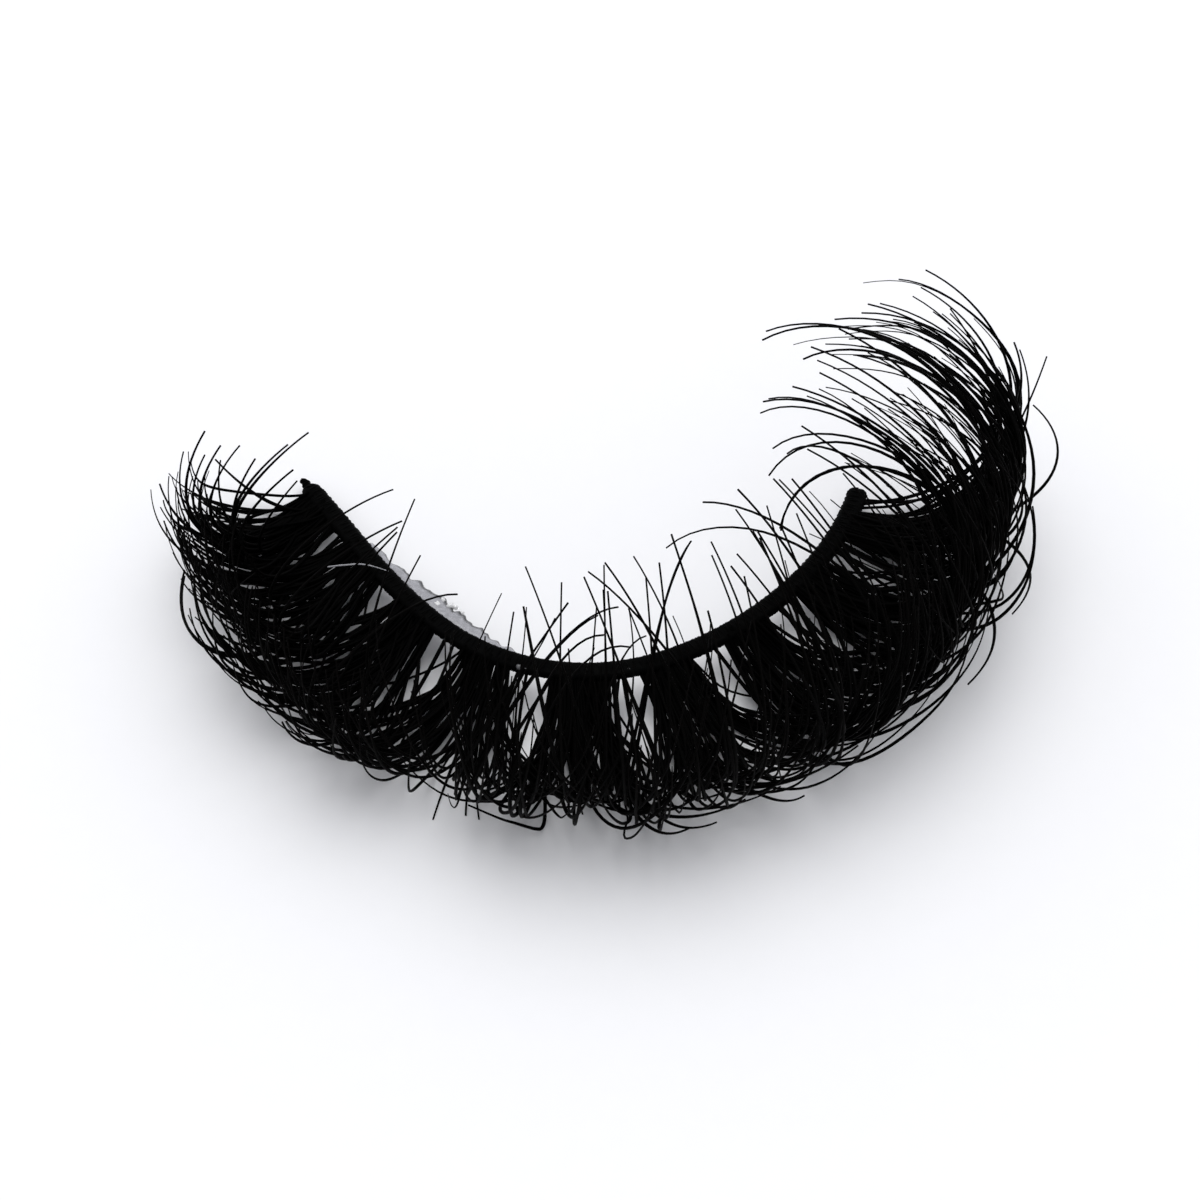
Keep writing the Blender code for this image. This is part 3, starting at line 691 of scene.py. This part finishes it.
def sweep_tree():
    """Sweeps a rounded flat section along a line whose points carry their own size."""
    maker = TreeMaker("swept_band", (
        ("Width", "Float", BAND_WIDTH),
        ("Thickness", "Float", BAND_THICKNESS),
        ("Roundness", "Float", 0.2 * MM),
        ("Unevenness", "Float", 0.03 * MM),
        ("Material", "Material", None),
    ))
    source = maker.source
    line = maker.add("GeometryNodeSetCurveNormal", {"Curve": maker.drawn()}, mode="Z_UP").outputs[0]
    inputs = {"Width": source["Width"], "Height": source["Thickness"]}
    box = maker.add("GeometryNodeCurvePrimitiveQuadrilateral", inputs, mode="RECTANGLE").outputs[0]
    inputs = {"Curve": box, "Radius": source["Roundness"], "Count": CORNER_STEPS, "Limit Radius": True}
    box = maker.add("GeometryNodeFilletCurve", inputs, mode="POLY").outputs[0]
    swept = maker.swept(line, maker.resampled(box, SECTION_STEPS), maker.named("line_size"))
    place = maker.add("GeometryNodeInputPosition").outputs[0]
    inputs = {"Vector": place, "Scale": LUMP_SCALE, "Detail": 2.0}
    noise = maker.add("ShaderNodeTexNoise", inputs, noise_dimensions="3D").outputs["Fac"]
    uneven = maker.math("SUBTRACT", noise, 0.5) * maker.given("Unevenness")
    normal = maker.add("GeometryNodeInputNormal").outputs[0]
    inputs = {"Geometry": swept, "Offset": maker.scaled(normal, uneven)}
    return maker.finish(maker.add("GeometryNodeSetPosition", inputs).outputs[0])


def thread_tree():
    """Winds a thread round the band's line: a helix laid over the flat section."""
    maker = TreeMaker("wound_thread", (
        ("Width", "Float", BAND_WIDTH),
        ("Thickness", "Float", BAND_THICKNESS),
        ("Thread Radius", "Float", 0.085 * MM),
        ("Turns", "Float", 40.0),
        ("Start Turn", "Float", 0.0),
        ("Steps", "Int", 900),
        ("Material", "Material", None),
    ))
    source = maker.source
    line = maker.resampled(maker.drawn(), source["Steps"])
    angle = (maker.along_line() * maker.given("Turns") + maker.given("Start Turn")) * (2.0 * math.pi)
    tangent = maker.add("GeometryNodeInputTangent").outputs[0]
    side = maker.vector("NORMALIZE", maker.vector("CROSS_PRODUCT", tangent, (0.0, 0.0, 1.0)))
    upward = maker.vector("CROSS_PRODUCT", side, tangent)
    across = maker.math("SINE", angle) * (maker.given("Width") * 0.5)
    height = maker.math("COSINE", angle) * (maker.given("Thickness") * 0.5)
    size = maker.named("line_size")
    offset = maker.vector("ADD", maker.scaled(side, across * size), maker.scaled(upward, height * size))
    line = maker.add("GeometryNodeSetPosition", {"Geometry": line, "Offset": offset}).outputs[0]
    return maker.finish(maker.swept(line, maker.ring(THREAD_SIDES), source["Thread Radius"]))


def line_tree():
    """Gives a line a round section whose size the points carry."""
    maker = TreeMaker("round_line", (
        ("Radius", "Float", 0.06 * MM),
        ("Material", "Material", None),
    ))
    radius = maker.given("Radius") * maker.named("line_size")
    return maker.finish(maker.swept(maker.drawn(), maker.ring(THREAD_SIDES), radius))


def point_mesh(name, points, columns, joined=False):
    """Mesh of loose points, or of one line, whose points carry the given columns of values."""
    mesh = bpy.data.meshes.new(name)
    edges = [(place, place + 1) for place in range(len(points) - 1)] if joined else []
    mesh.from_pydata([tuple(point) for point in points], edges, [])
    for label, values in columns.items():
        values = np.asarray(values, np.float32)
        if values.ndim == 2:
            mesh.attributes.new(label, "FLOAT_VECTOR", "POINT").data.foreach_set("vector", values.ravel())
        else:
            mesh.attributes.new(label, "FLOAT", "POINT").data.foreach_set("value", values)
    return mesh


def grown(name, mesh, tree, inputs):
    """The plain mesh that a geometry tree makes of a point mesh."""
    carrier = bpy.data.objects.new(name + "_carrier", mesh)
    bpy.context.scene.collection.objects.link(carrier)
    modifier = carrier.modifiers.new("grow", "NODES")
    modifier.node_group = tree
    for item in tree.interface.items_tree:
        if item.in_out == "INPUT" and item.name in inputs:
            modifier[item.identifier] = inputs[item.name]
    carrier.update_tag()
    graph = bpy.context.evaluated_depsgraph_get()
    made = bpy.data.meshes.new_from_object(
        carrier.evaluated_get(graph), preserve_all_data_layers=True, depsgraph=graph)
    bpy.data.objects.remove(carrier)
    bpy.data.meshes.remove(mesh)
    made.name = name
    return made


def add_piece(name, mesh, nodes=()):
    """Object of a finished mesh that rides on the strip's body."""
    item = bpy.data.objects.new(name, mesh)
    bpy.context.scene.collection.objects.link(item)
    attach(item, BODY)
    if nodes:
        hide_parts(*nodes)
    return item


class Shader(NodeMaker):
    """Builds one procedural material around its main surface node."""

    def __init__(self, name):
        self.material = bpy.data.materials.new(name)
        self.material.use_nodes = True
        super().__init__(self.material.node_tree)
        self.surface = self.tree.nodes["Principled BSDF"].inputs

    def noise(self, scale, detail=3.0, stretch=(1.0, 1.0, 1.0)):
        place = self.add("ShaderNodeTexCoord").outputs["Object"]
        mapped = self.add("ShaderNodeMapping", {"Vector": place, "Scale": stretch}).outputs[0]
        inputs = {"Vector": mapped, "Scale": scale, "Detail": detail}
        return self.add("ShaderNodeTexNoise", inputs).outputs["Fac"]

    def ranged(self, value, low, high, start=0.3, end=0.7):
        node = self.add("ShaderNodeMapRange", {
            "Value": value, "From Min": start, "From Max": end, "To Min": low, "To Max": high})
        return node.outputs[0]

    def blend(self, factor, first, second):
        node = self.add("ShaderNodeMix", data_type="RGBA")
        self.feed(node.inputs["Factor"], factor)
        self.feed(node.inputs[6], (*first, 1.0) if isinstance(first, tuple) else first)
        self.feed(node.inputs[7], (*second, 1.0) if isinstance(second, tuple) else second)
        return node.outputs[2]

    def paint(self, inputs):
        for key, value in inputs.items():
            self.feed(self.surface[key], value)

    def bump(self, height, distance, strength=0.5):
        node = self.add("ShaderNodeBump", {"Height": height, "Distance": distance, "Strength": strength})
        self.feed(self.surface["Normal"], node.outputs[0])


def hair_material(sizes):
    """Black hair with a soft sheen: each hair has its own tone and turns lighter at its tip."""
    shader = Shader("black_hair")
    tone = shader.add("ShaderNodeAttribute", attribute_name="hair_tone").outputs["Fac"]
    share = shader.add("ShaderNodeAttribute", attribute_name="hair_share").outputs["Fac"]
    dark = tuple(sizes.colour)
    light = tuple(sizes.tip_colour)
    middle = tuple(0.6 * low + 0.4 * high for low, high in zip(dark, light))
    body = shader.blend(tone, dark, middle)
    tips = shader.ranged(share, 0.0, 1.0, 0.55, 1.0)
    grain = shader.noise(9000.0, 2.0)
    shader.paint({
        "Base Color": shader.blend(tips, body, light),
        "Roughness": shader.ranged(grain, 0.40, 0.58),
        "Specular IOR Level": 0.012})
    shader.bump(grain, 0.01 * MM, 0.35)
    return shader.material


def band_material(sizes):
    """Black thread soaked with dried glue: matt fibre with a few shinier patches."""
    shader = Shader("glued_thread")
    patches = shader.noise(1800.0, 3.0)
    fibre = shader.noise(14000.0, 4.0, (1.0, 1.0, 2.2))
    dark = tuple(sizes.colour)
    light = tuple(value * 2.6 + 0.0004 for value in dark)
    shader.paint({
        "Base Color": shader.blend(fibre, dark, light),
        "Roughness": shader.ranged(patches, 0.30, 0.66),
        "Specular IOR Level": 0.015})
    shader.bump(fibre, 0.03 * MM, 0.6)
    return shader.material


def film_material(sizes):
    """Dried glue, greyish and half clear, with a dark rim and small lumps painted white as painted
    glints.
    """
    shader = Shader("clear_glue")
    wrinkles = shader.noise(2600.0, 4.0)
    clouds = shader.noise(5200.0, 2.0)
    tone = shader.add("ShaderNodeAttribute", attribute_name="glue_tone").outputs["Fac"]
    tint = tuple(sizes.colour)
    cloudy = tuple(value * 0.72 for value in tint)
    body = shader.blend(shader.ranged(clouds, 0.0, 1.0), tint, cloudy)
    body = shader.blend(shader.ranged(tone, 0.0, 1.0, 0.2, 1.0), body, (0.03, 0.03, 0.032))
    # Painted highlight: tone -1 turns the colour white to stand for glints of the lights
    painted_glint = shader.ranged(tone, 1.0, 0.0, -1.0, -0.4)
    shader.paint({
        "Base Color": shader.blend(painted_glint, body, (0.95, 0.95, 0.95)),
        "Roughness": shader.ranged(clouds, 0.10, 0.42),
        "Transmission Weight": 0.30,
        "IOR": 1.47,
        "Coat Weight": 0.4})
    shader.bump(wrinkles, 0.10 * MM, 0.8)
    return shader.material


def table_material(colour):
    """Pale matt table with a faint grain."""
    shader = Shader("pale_table")
    grain = shader.noise(900.0, 3.0)
    soft = tuple(value * 0.985 for value in colour)
    shader.paint({
        "Base Color": shader.blend(grain, tuple(colour), soft),
        "Roughness": 0.75,
        "Specular IOR Level": 0.15})
    return shader.material


def hair_columns(shares, lean, dip, roll, inset, lift, **values):
    """Root points of a set of hairs and the point values that the hair tree needs, angles in radians."""
    edge, along, outward, upward = band_frames(shares)

    def turned(first, second, angle):
        return np.cos(angle)[:, None] * first + np.sin(angle)[:, None] * second

    forward = turned(outward, -upward, dip)
    curl_way = turned(upward, outward, dip)
    side = turned(along, -forward, lean)
    root = edge + outward * inset[:, None] + upward * lift[:, None]
    columns = {"hair_" + name: value for name, value in values.items()}
    columns["hair_root"] = root
    columns["hair_forward"] = turned(forward, along, lean)
    columns["hair_curl_way"] = turned(curl_way, side, roll)
    columns["hair_side"] = turned(side, -curl_way, roll)
    return root, columns


def tuft_columns(number, sizes, rng):
    """Hairs of one tuft, gathered in small locks that fan out from the knot."""
    centre = TUFT_FIRST_SHARE + number / len(TUFT_NODES)
    count = int(sizes.per_tuft * np.interp(centre, *HAIR_COUNT))
    lock = np.arange(count) % LOCKS
    lock_place = np.linspace(-1.0, 1.0, LOCKS) + rng.normal(0.0, LOCK_PLACE_SCATTER, LOCKS)
    lock_lean = rng.normal(0.0, LOCK_LEAN_SCATTER, LOCKS)
    lock_dip = rng.normal(0.0, LOCK_DIP_SCATTER, LOCKS)
    lock_length = rng.uniform(*LOCK_LENGTHS, LOCKS)
    lock_curl = rng.normal(1.0, CURL_SCATTER, LOCKS)
    lock_roll = rng.normal(0.0, ROLL_SCATTER, LOCKS)
    across = lock_place[lock] + rng.normal(0.0, HAIR_PLACE_SCATTER, count)
    shares = centre + across * np.interp(centre, *KNOT_REACH) / len(TUFT_NODES)
    shares = np.clip(shares, *HAIR_SHARES)
    fan = across * sizes.fan * np.interp(centre, *END_FAN)
    fan = fan + lock_lean[lock] + rng.normal(0.0, FAN_SCATTER, count)
    early = rng.random(count) < np.interp(centre, *EARLY_SHARE)
    fan = np.where(early, rng.uniform(-EARLY_FAN, EARLY_FAN, count), fan)
    early_start = rng.uniform(*EARLY_STARTS, count)
    fan_start = np.where(early, early_start, rng.normal(FAN_START, FAN_START_SCATTER, count))
    lean = ROOT_LEAN * across * sizes.fan + rng.normal(0.0, LEAN_SCATTER, count)
    lean = lean + np.radians(hair_values("lean_deg", shares))
    freedom = np.interp(shares, *FREEDOM)
    dip = np.radians(hair_values("dip_deg", shares))
    dip = dip + freedom * (lock_dip[lock] + rng.normal(0.0, DIP_SCATTER, count))
    roll = SWEEP_GAIN * np.radians(hair_values("sweep_deg", shares)) + lock_roll[lock]
    roll = roll + freedom * rng.normal(0.0, ROLL_SCATTER, count)
    length = hair_values("length", shares) * LONGEST_HAIR * np.interp(shares, *TRIMMED_LENGTH)
    length = length * lock_length[lock] * rng.uniform(*HAIR_LENGTHS, count)
    curl = lock_curl[lock] * rng.normal(1.0, CURL_SCATTER, count) * np.interp(shares, *CURL_SIZE)
    belly = hair_values("belly", shares) * BELLY_RADIUS * curl
    tip = hair_values("tip", shares) * TIP_RADIUS * curl * rng.normal(1.0, TIP_SCATTER, count)
    inset = rng.uniform(*ROOT_INSETS, count)
    hidden = BAND_WIDTH - inset
    straight = hair_values("straight", shares) * STRAIGHT_ROOT * rng.uniform(*STRAIGHT_LENGTHS, count)
    sway = rng.normal(0.0, SWAY_SCATTER, count) * freedom
    wave = rng.normal(0.0, WAVE_SCATTER, count)
    radius = sizes.radius * rng.uniform(*HAIR_RADII, count)
    tone = rng.uniform(0.0, 1.0, count)
    lift = rng.uniform(*ROOT_LIFTS, count)
    return hair_columns(
        shares, lean, dip, roll, inset, lift,
        fan=np.tan(fan),
        fan_start=fan_start,
        length=length + hidden,
        belly=belly,
        tip=tip * (1.0 - WING_TIP_TIGHTENING * (1.0 - freedom)),
        straight=straight + hidden,
        spread=TUFT_SPREAD * np.sin(lean),
        sway=sway,
        wave=wave,
        radius=radius,
        tone=tone,
        waver=np.ones(count),
        end=np.full(count, TUFT_TIP_SIZE))


def stray_columns(sizes, rng):
    """The single hairs of the stray table."""
    hairs = StrayRow(*np.array(STRAY_ROWS, float).T)
    lean = np.radians(hairs.lean_deg)
    each = np.ones(len(lean))
    return hair_columns(
        np.clip(hairs.share, *HAIR_SHARES), lean, np.radians(hairs.dip_deg), np.radians(hairs.roll_deg),
        STRAY_INSET * each, STRAY_LIFT * each,
        fan=0.0 * each,
        fan_start=FAN_START * each,
        length=hairs.length * LONGEST_HAIR,
        belly=hairs.belly * BELLY_RADIUS,
        tip=hairs.tip * TIP_RADIUS,
        straight=hairs.straight * STRAIGHT_ROOT,
        spread=STRAY_SPREAD * np.sin(lean),
        sway=hairs.sway * MM,
        wave=0.0 * each,
        radius=sizes.radius * rng.uniform(*STRAY_RADII, len(each)),
        tone=rng.uniform(*STRAY_TONES, len(each)),
        waver=STRAY_WAVER * each,
        end=STRAY_TIP_SIZE * each)


def rounded_path(points, steps=14):
    """Points of a smooth curve through the given ones."""
    given = np.asarray(points, float)
    given = np.concatenate([2.0 * given[:1] - given[1:2], given, 2.0 * given[-1:] - given[-2:-1]])
    amount = np.linspace(0.0, 1.0, steps, endpoint=False)[:, np.newaxis]
    pieces = []
    for place in range(1, len(given) - 2):
        before, start, end, after = given[place - 1:place + 3]
        bend = 2.0 * before - 5.0 * start + 4.0 * end - after
        twist = 3.0 * start - before - 3.0 * end + after
        pieces.append(start + 0.5 * ((end - before) * amount + bend * amount ** 2 + twist * amount ** 3))
    return np.concatenate(pieces + [given[-2:-1]])


def path_mesh(name, points, end=0.5):
    """Line through the given points in millimetres, thinner towards its last point."""
    path = rounded_path(points) * MM
    share = np.linspace(0.0, 1.0, len(path))
    size = 1.0 - (1.0 - end) * np.clip((share - 0.5) / 0.5, 0.0, 1.0)
    return point_mesh(name, path, {"line_size": size}, joined=True)


def lump(centre, size, rng, sides=9, rings=6):
    """Corners and faces of one small uneven bead."""
    points = [centre + np.array((0.0, 0.0, -0.5 * size))]
    for ring in range(1, rings):
        down = math.pi * ring / rings
        for side in range(sides):
            turn = 2.0 * math.pi * side / sides
            reach = 0.5 * size * rng.uniform(0.75, 1.20)
            across = math.sin(down) * reach
            offset = (across * math.cos(turn), across * math.sin(turn), -math.cos(down) * reach)
            points.append(centre + np.array(offset))
    points.append(centre + np.array((0.0, 0.0, 0.5 * size)))
    faces = [(0, 1 + (side + 1) % sides, 1 + side) for side in range(sides)]
    for ring in range(rings - 2):
        low, high = 1 + ring * sides, 1 + (ring + 1) * sides
        for side in range(sides):
            after = (side + 1) % sides
            faces.append((low + side, low + after, high + after, high + side))
    top = len(points) - 1
    low = 1 + (rings - 2) * sides
    faces += [(low + side, low + (side + 1) % sides, top) for side in range(sides)]
    return points, faces


def lumps(rows, rng, first=0):
    """Corners and faces of the beads of a table, numbered from the given first corner."""
    points, faces = [], []
    for row in rows:
        corners, sides = lump(np.array(row[:3]) * MM, row.size * MM, rng)
        faces += [tuple(first + len(points) + corner for corner in side) for side in sides]
        points += corners
    return points, faces


def band_centre_mesh(name):
    """The band's middle line with the nub at its start and the taper of its end."""
    start = -NUB_LENGTH / BAND_LENGTH
    shares = np.concatenate([
        np.linspace(start, END_ZONE, 14),
        np.linspace(END_ZONE, 1.0 - END_ZONE, 200)[1:-1],
        np.linspace(1.0 - END_ZONE, 1.0, 8)])
    edge, _, outward, _ = band_frames(shares)
    points = edge + outward * (0.5 * BAND_WIDTH)
    from_start = (shares - start) * BAND_LENGTH / MM
    from_end = (1.0 - shares) * BAND_LENGTH / MM
    size = np.interp(from_start, *NUB_SIZE) * np.interp(from_end, *END_SIZE)
    return point_mesh(name, points, {"line_size": size}, joined=True)


def glue_mesh(name, points, faces, tones, material):
    """Smooth mesh of glue: tone 1 is its dark rim, tone -1 a lump painted white as a painted glint."""
    mesh = bpy.data.meshes.new(name)
    mesh.from_pydata([tuple(point) for point in points], [], faces)
    mesh.polygons.foreach_set("use_smooth", [True] * len(mesh.polygons))
    tone = mesh.attributes.new("glue_tone", "FLOAT", "POINT")
    tone.data.foreach_set("value", np.asarray(tones, np.float32))
    mesh.materials.append(material)
    return mesh


def film_skin(sizes, rng):
    """Corners, faces and tones of the wrinkled film along the band's lid side."""
    shares = np.linspace(FILM_ROWS[0].share, FILM_ROWS[-1].share, FILM_STATIONS)
    widths = np.interp(shares, *zip(*FILM_ROWS))
    window = np.hanning(FILM_WINDOW)
    rough = rng.normal(0.0, 1.0, FILM_STATIONS + FILM_WINDOW - 1)
    rough = np.convolve(rough, window / window.sum(), "valid")
    widths = sizes.width * widths * (1.0 + FILM_ROUGHNESS * rough)
    edge, _, outward, upward = band_frames(shares)
    points, faces, tones = [], [], []
    for place in range(FILM_STATIONS):
        for step in range(FILM_SIDES):
            angle = 2.0 * math.pi * step / FILM_SIDES
            across = 0.5 - 0.5 * math.cos(angle)
            flat = math.sin(angle) * (1.0 - FILM_THINNING * across)
            inward = widths[place] * across - FILM_UNDERLAP
            height = 0.5 * sizes.thickness * flat - FILM_DROP - FILM_SLOPE * across
            points.append(edge[place] - outward[place] * inward + upward[place] * height)
            tones.append(1.0 if across > FILM_RIM else 0.0)
    for low in range(0, (FILM_STATIONS - 1) * FILM_SIDES, FILM_SIDES):
        high = low + FILM_SIDES
        for step in range(FILM_SIDES):
            after = (step + 1) % FILM_SIDES
            faces.append((low + step, high + step, high + after, low + after))
    faces.append(tuple(range(FILM_SIDES)))
    faces.append(tuple(range(len(points) - 1, len(points) - 1 - FILM_SIDES, -1)))
    return points, faces, tones


class LASH_OT_band(bpy.types.Operator):
    """Make the thread band with the threads wound round it"""

    bl_idname = "lash.make_band"
    bl_label = "Make Band"

    def execute(self, context):
        sizes = context.scene.lash_band
        material = band_material(sizes)
        core = grown("band_core", band_centre_mesh("band_line"), sweep_tree(), {
            "Width": sizes.width - CORE_INSET,
            "Thickness": sizes.thickness - CORE_INSET,
            "Material": material})
        add_piece("band_core", core, (BAND_NODE,))
        winding = thread_tree()
        for name, turns, start in WINDINGS:
            thread = grown(name, band_centre_mesh(name + "_line"), winding, {
                "Width": sizes.width - THREAD_INSET,
                "Thickness": sizes.thickness - THREAD_INSET,
                "Thread Radius": sizes.thread,
                "Turns": turns,
                "Start Turn": start,
                "Steps": WINDING_STEPS,
                "Material": material})
            add_piece(name, thread)
        return {"FINISHED"}


class LASH_OT_tufts(bpy.types.Operator):
    """Make the curled hair of every tuft"""

    bl_idname = "lash.make_tufts"
    bl_label = "Make Hair Tufts"

    def execute(self, context):
        sizes = context.scene.lash_hair
        tree = hair_tree()
        material = hair_material(sizes)
        inputs = {"Table Height": TABLE_HEIGHT, "Waver": WAVER, "Material": material}
        for number, node in enumerate(TUFT_NODES):
            rng = np.random.default_rng(sizes.seed * 100 + number)
            roots, columns = tuft_columns(number, sizes, rng)
            name = "tuft_hair_%d" % (number + 1)
            mesh = grown(name, point_mesh(name + "_roots", roots, columns), tree, inputs)
            add_piece(name, mesh, (node,))
        roots, columns = stray_columns(sizes, np.random.default_rng(sizes.seed))
        mesh = grown("stray_hair", point_mesh("stray_roots", roots, columns), tree, inputs)
        add_piece("stray_hair", mesh)
        mesh = grown("bent_hair", path_mesh("bent_path", BENT_HAIR), line_tree(), {
            "Radius": BENT_HAIR_SIZE * sizes.radius,
            "Material": material})
        add_piece("bent_hair", mesh)
        return {"FINISHED"}


class LASH_OT_film(bpy.types.Operator):
    """Make the wrinkled film of dried glue on the lid side of the band"""

    bl_idname = "lash.make_film"
    bl_label = "Make Glue Film"

    def execute(self, context):
        sizes = context.scene.lash_film
        rng = np.random.default_rng(FILM_SEED)
        material = film_material(sizes)
        points, faces, tones = film_skin(sizes, rng)
        # Lumps in the film painted white as painted glints
        beads, bead_faces = lumps(FILM_PAINTED_GLINTS, rng, len(points))
        tones += [PAINTED_GLINT_TONE] * len(beads)
        skin = glue_mesh("glue_film_skin", points + beads, faces + bead_faces, tones, material)
        add_piece("glue_film_skin", skin, (FILM_NODE,))
        points, faces = lumps(BAND_SPECKS, rng)
        specks = glue_mesh("glue_specks", points, faces, [SPECK_TONE] * len(points), material)
        add_piece("glue_specks", specks)
        fibre = grown("glue_fibre", path_mesh("fibre_path", GLUE_FIBRE), line_tree(), {
            "Radius": FIBRE_RADIUS,
            "Material": material})
        add_piece("glue_fibre", fibre)
        return {"FINISHED"}


class LASH_OT_stage(bpy.types.Operator):
    """Make the table, the soft light and the camera"""

    bl_idname = "lash.make_stage"
    bl_label = "Make Table, Light and Camera"

    def execute(self, context):
        sizes = context.scene.lash_stage
        scene = context.scene
        corners = [(across * TABLE_HALF, deep * TABLE_HALF, 0.0)
                   for across, deep in ((-1, -1), (1, -1), (1, 1), (-1, 1))]
        mesh = bpy.data.meshes.new("table_top")
        mesh.from_pydata(corners, [], [(0, 1, 2, 3)])
        mesh.materials.append(table_material(tuple(sizes.floor_colour)))
        table = bpy.data.objects.new("table_top", mesh)
        scene.collection.objects.link(table)
        world = bpy.data.worlds.new("studio")
        world.use_nodes = True
        sky = world.node_tree.nodes["Background"].inputs
        sky["Color"].default_value = (0.95, 0.96, 1.0, 1.0)
        sky["Strength"].default_value = SKY_STRENGTH
        scene.world = world
        data = bpy.data.lights.new("back_light", "AREA")
        data.shape = "DISK"
        data.size = LIGHT_SIZE
        data.energy = LIGHT_POWER
        lamp = bpy.data.objects.new("back_light", data)
        lamp.location = LIGHT_PLACE
        lamp.rotation_euler = (-LIGHT_PLACE).to_track_quat("-Z", "Y").to_euler()
        scene.collection.objects.link(lamp)
        angle = sizes.camera_elevation
        back = Vector((0.0, -math.cos(angle), math.sin(angle)))
        upward = Vector((0.0, math.sin(angle), math.cos(angle)))
        target = VIEW_TARGET + upward * VIEW_RAISE
        data = bpy.data.cameras.new("view")
        data.sensor_width = SENSOR_WIDTH
        data.lens = data.sensor_width * sizes.camera_distance / sizes.frame_width
        data.clip_start = 0.01
        data.clip_end = 10.0
        camera = bpy.data.objects.new("view", data)
        camera.location = target + back * sizes.camera_distance
        camera.rotation_mode = "QUATERNION"
        camera.rotation_quaternion = (-back).to_track_quat("-Z", "Y")
        scene.collection.objects.link(camera)
        scene.camera = camera
        scene.view_settings.view_transform = "Standard"
        return {"FINISHED"}


class LASH_PT_panel(bpy.types.Panel):
    """Lists the steps that build the strip"""

    bl_idname = "LASH_PT_panel"
    bl_label = "Lash Strip"
    bl_space_type = "VIEW_3D"
    bl_region_type = "UI"
    bl_category = "Lash Strip"

    def draw(self, context):
        for group, steps in STEPS.items():
            box = self.layout.box()
            sizes = getattr(context.scene, group)
            for name in sizes.bl_rna.properties.keys():
                if name not in ("rna_type", "name"):
                    box.prop(sizes, name)
            for step in steps:
                box.operator(step)


GROUPS = {
    "lash_band": BandSizes,
    "lash_hair": HairSizes,
    "lash_film": FilmSizes,
    "lash_stage": StageSizes,
}
STEPS = {
    "lash_band": ("lash.make_band",),
    "lash_hair": ("lash.make_tufts",),
    "lash_film": ("lash.make_film",),
    "lash_stage": ("lash.make_stage",),
}
OPERATORS = (LASH_OT_band, LASH_OT_tufts, LASH_OT_film, LASH_OT_stage)


def register():
    for group in GROUPS.values():
        bpy.utils.register_class(group)
    for name, group in GROUPS.items():
        setattr(bpy.types.Scene, name, bpy.props.PointerProperty(type=group))
    for item in OPERATORS:
        bpy.utils.register_class(item)
    bpy.utils.register_class(LASH_PT_panel)


def unregister():
    bpy.utils.unregister_class(LASH_PT_panel)
    for item in reversed(OPERATORS):
        bpy.utils.unregister_class(item)
    for name, group in GROUPS.items():
        delattr(bpy.types.Scene, name)
        bpy.utils.unregister_class(group)


def main():
    register()
    for steps in STEPS.values():
        for step in steps:
            family, action = step.split(".")
            getattr(getattr(bpy.ops, family), action)()


if __name__ == "__main__":
    main()
